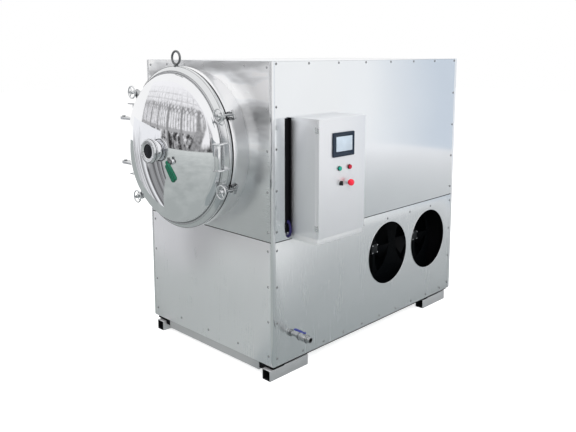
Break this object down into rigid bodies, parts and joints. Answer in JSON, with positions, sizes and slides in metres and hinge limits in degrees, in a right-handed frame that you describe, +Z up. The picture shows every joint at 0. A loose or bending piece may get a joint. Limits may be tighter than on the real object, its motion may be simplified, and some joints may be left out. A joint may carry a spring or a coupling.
{
  "type": "freeze dryer",
  "caption": "Steel-cabinet freeze dryer with a round dished vacuum door on clamps, heated shelves, a side control box and a fan-cooled compartment below.",
  "frame": {"origin": "on the floor under the middle of the whole machine", "axes": "+X to the right seen from the front, the control box side; -Y to the front, where the round door is; +Z up"},
  "size_m": [1.6636, 2.4048, 2.0033],
  "materials": {
    "front_steel": "grey stainless sheet with a soft vertical grain",
    "side_steel": "pale stainless sheet",
    "edge_steel": "bright bent edge",
    "base_steel": "dark grey satin paint",
    "vessel_steel": "turned stainless with a fine round grain",
    "mirror_steel": "mirror polished stainless",
    "eye_steel": "dark forged steel",
    "seal_rubber": "matt black silicone",
    "hose_plastic": "dark blue-violet hose",
    "shelf_alloy": "satin plate",
    "sight_glass": "dark thick glass",
    "black_coil": "black coated fins",
    "black_plastic": "matt black",
    "motor_alloy": "cast grey plate with bright bolts",
    "machine_paint": "dark enamel",
    "gear_plastic": "light grey modules",
    "bezel_plastic": "dark navy bezel",
    "screen_glass": "pale blue-grey display window",
    "green_plastic": "glossy",
    "red_plastic": "glossy",
    "green_sleeve": "dipped sleeve",
    "blue_sleeve": "dipped sleeve"
  },
  "bodies": {
    "cabinet": {"base_frame": "base_steel", "corner_post_front_right": "edge_steel", "corner_post_front_left": "edge_steel", "corner_post_rear_right": "edge_steel", "corner_post_rear_left": "edge_steel", "front_panel_upper": "front_steel", "front_panel_lower": "front_steel", "right_panel_upper": "side_steel", "right_panel_lower": "side_steel", "left_panel_upper": "side_steel", "left_panel_lower": "side_steel", "rear_panel": "side_steel", "top_cover": "side_steel", "mid_deck": "base_steel", "chamber": "vessel_steel", "gasket": "seal_rubber", "shelf_rack": "vessel_steel", "shelf_1": "shelf_alloy", "shelf_2": "shelf_alloy", "shelf_3": "shelf_alloy", "shelf_4": "shelf_alloy", "cold_trap": "vessel_steel", "condenser": "black_coil", "fan_motor_1": "motor_alloy", "fan_motor_2": "motor_alloy", "compressor": "machine_paint", "vacuum_pump": "machine_paint", "drain_valve": "mirror_steel", "control_box": "front_steel", "box_base": "base_steel", "box_spacer": "base_steel", "control_gear": "gear_plastic", "wiring_hose": "hose_plastic"},
    "door": {"door_ring": "vessel_steel", "door_dome": "mirror_steel", "sight_ring": "vessel_steel", "sight_glass": "sight_glass", "door_grip": "mirror_steel", "lifting_eye": "eye_steel", "vent_valve": "mirror_steel"},
    "box_door": {"control_box_door": "front_steel", "hmi_housing": "bezel_plastic", "hmi_screen": "screen_glass"},
    "vent_lever": {"vent_lever": "green_sleeve"},
    "drain_lever": {"drain_lever": "blue_sleeve"},
    "fan_1": {"fan_impeller_1": "black_plastic"},
    "fan_2": {"fan_impeller_2": "black_plastic"},
    "green_button": {"green_button": "green_plastic"},
    "red_button": {"red_button": "red_plastic"},
    "selector_switch": {"selector_switch": "black_plastic"},
    "stop_button": {"stop_button": "red_plastic"},
    "clamp_1": {"clamp_bolt_1": "mirror_steel"},
    "wheel_1": {"clamp_wheel_1": "mirror_steel"},
    "clamp_2": {"clamp_bolt_2": "mirror_steel"},
    "wheel_2": {"clamp_wheel_2": "mirror_steel"},
    "clamp_3": {"clamp_bolt_3": "mirror_steel"},
    "wheel_3": {"clamp_wheel_3": "mirror_steel"},
    "clamp_4": {"clamp_bolt_4": "mirror_steel"},
    "wheel_4": {"clamp_wheel_4": "mirror_steel"}
  },
  "joints": [
    {"name": "door_hinge", "type": "hinge", "parent": "cabinet", "child": "door", "pos_m": [-0.8078, -0.9326, 1.396], "axis": [0, 0, -1], "range_deg": [0, 105]},
    {"name": "box_door_hinge", "type": "hinge", "parent": "cabinet", "child": "box_door", "pos_m": [0.7702, -0.6686, 1.2645], "axis": [0, 0, -1], "range_deg": [0, 120]},
    {"name": "clamp_1_swing", "type": "hinge", "parent": "door", "child": "clamp_1", "pos_m": [0.34152, -0.9936, 1.63248], "axis": [0.4462, 0, -0.8949], "range_deg": [-9.5, 16]},
    {"name": "wheel_1_spin", "type": "hinge", "parent": "clamp_1", "child": "wheel_1", "pos_m": [0.34152, -1.0296, 1.63248], "axis": [0, -1, 0], "continuous": true},
    {"name": "clamp_2_swing", "type": "hinge", "parent": "door", "child": "clamp_2", "pos_m": [0.35507, -0.9936, 1.18891], "axis": [-0.3907, 0, -0.9205], "range_deg": [-9.5, 16]},
    {"name": "wheel_2_spin", "type": "hinge", "parent": "clamp_2", "child": "wheel_2", "pos_m": [0.35507, -1.0296, 1.18891], "axis": [0, -1, 0], "continuous": true},
    {"name": "clamp_3_swing", "type": "hinge", "parent": "door", "child": "clamp_3", "pos_m": [-0.54469, -0.9936, 1.72954], "axis": [0.6293, 0, 0.7771], "range_deg": [-9.5, 16]},
    {"name": "wheel_3_spin", "type": "hinge", "parent": "clamp_3", "child": "wheel_3", "pos_m": [-0.54469, -1.0296, 1.72954], "axis": [0, -1, 0], "continuous": true},
    {"name": "clamp_4_swing", "type": "hinge", "parent": "door", "child": "clamp_4", "pos_m": [-0.52042, -0.9936, 1.03454], "axis": [-0.682, 0, 0.7314], "range_deg": [-9.5, 16]},
    {"name": "wheel_4_spin", "type": "hinge", "parent": "clamp_4", "child": "wheel_4", "pos_m": [-0.52042, -1.0296, 1.03454], "axis": [0, -1, 0], "continuous": true},
    {"name": "vent_lever_turn", "type": "hinge", "parent": "door", "child": "vent_lever", "pos_m": [0.0192, -1.1636, 1.34], "axis": [0, -1, 0], "range_deg": [0, 90]},
    {"name": "drain_lever_turn", "type": "hinge", "parent": "cabinet", "child": "drain_lever", "pos_m": [0.6652, -0.6526, 0.307], "axis": [0, 0, 1], "range_deg": [0, 90]},
    {"name": "fan_1_spin", "type": "hinge", "parent": "cabinet", "child": "fan_1", "pos_m": [0.3812, 0.3504, 0.568], "axis": [1, 0, 0], "continuous": true},
    {"name": "fan_2_spin", "type": "hinge", "parent": "cabinet", "child": "fan_2", "pos_m": [0.3812, 0.8624, 0.568], "axis": [1, 0, 0], "continuous": true},
    {"name": "green_button_press", "type": "slide", "parent": "box_door", "child": "green_button", "axis": [-1, 0, 0], "range_m": [0, 0.004], "stiffness_N_per_m": 400, "springref_m": -0.003},
    {"name": "red_button_press", "type": "slide", "parent": "box_door", "child": "red_button", "axis": [-1, 0, 0], "range_m": [0, 0.004], "stiffness_N_per_m": 400, "springref_m": -0.003},
    {"name": "stop_button_press", "type": "slide", "parent": "box_door", "child": "stop_button", "axis": [-1, 0, 0], "range_m": [0, 0.006], "stiffness_N_per_m": 600, "springref_m": -0.003},
    {"name": "selector_turn", "type": "hinge", "parent": "box_door", "child": "selector_switch", "pos_m": [0.7932, -0.4766, 1.224], "axis": [1, 0, 0], "range_deg": [-45, 45]}
  ]
}
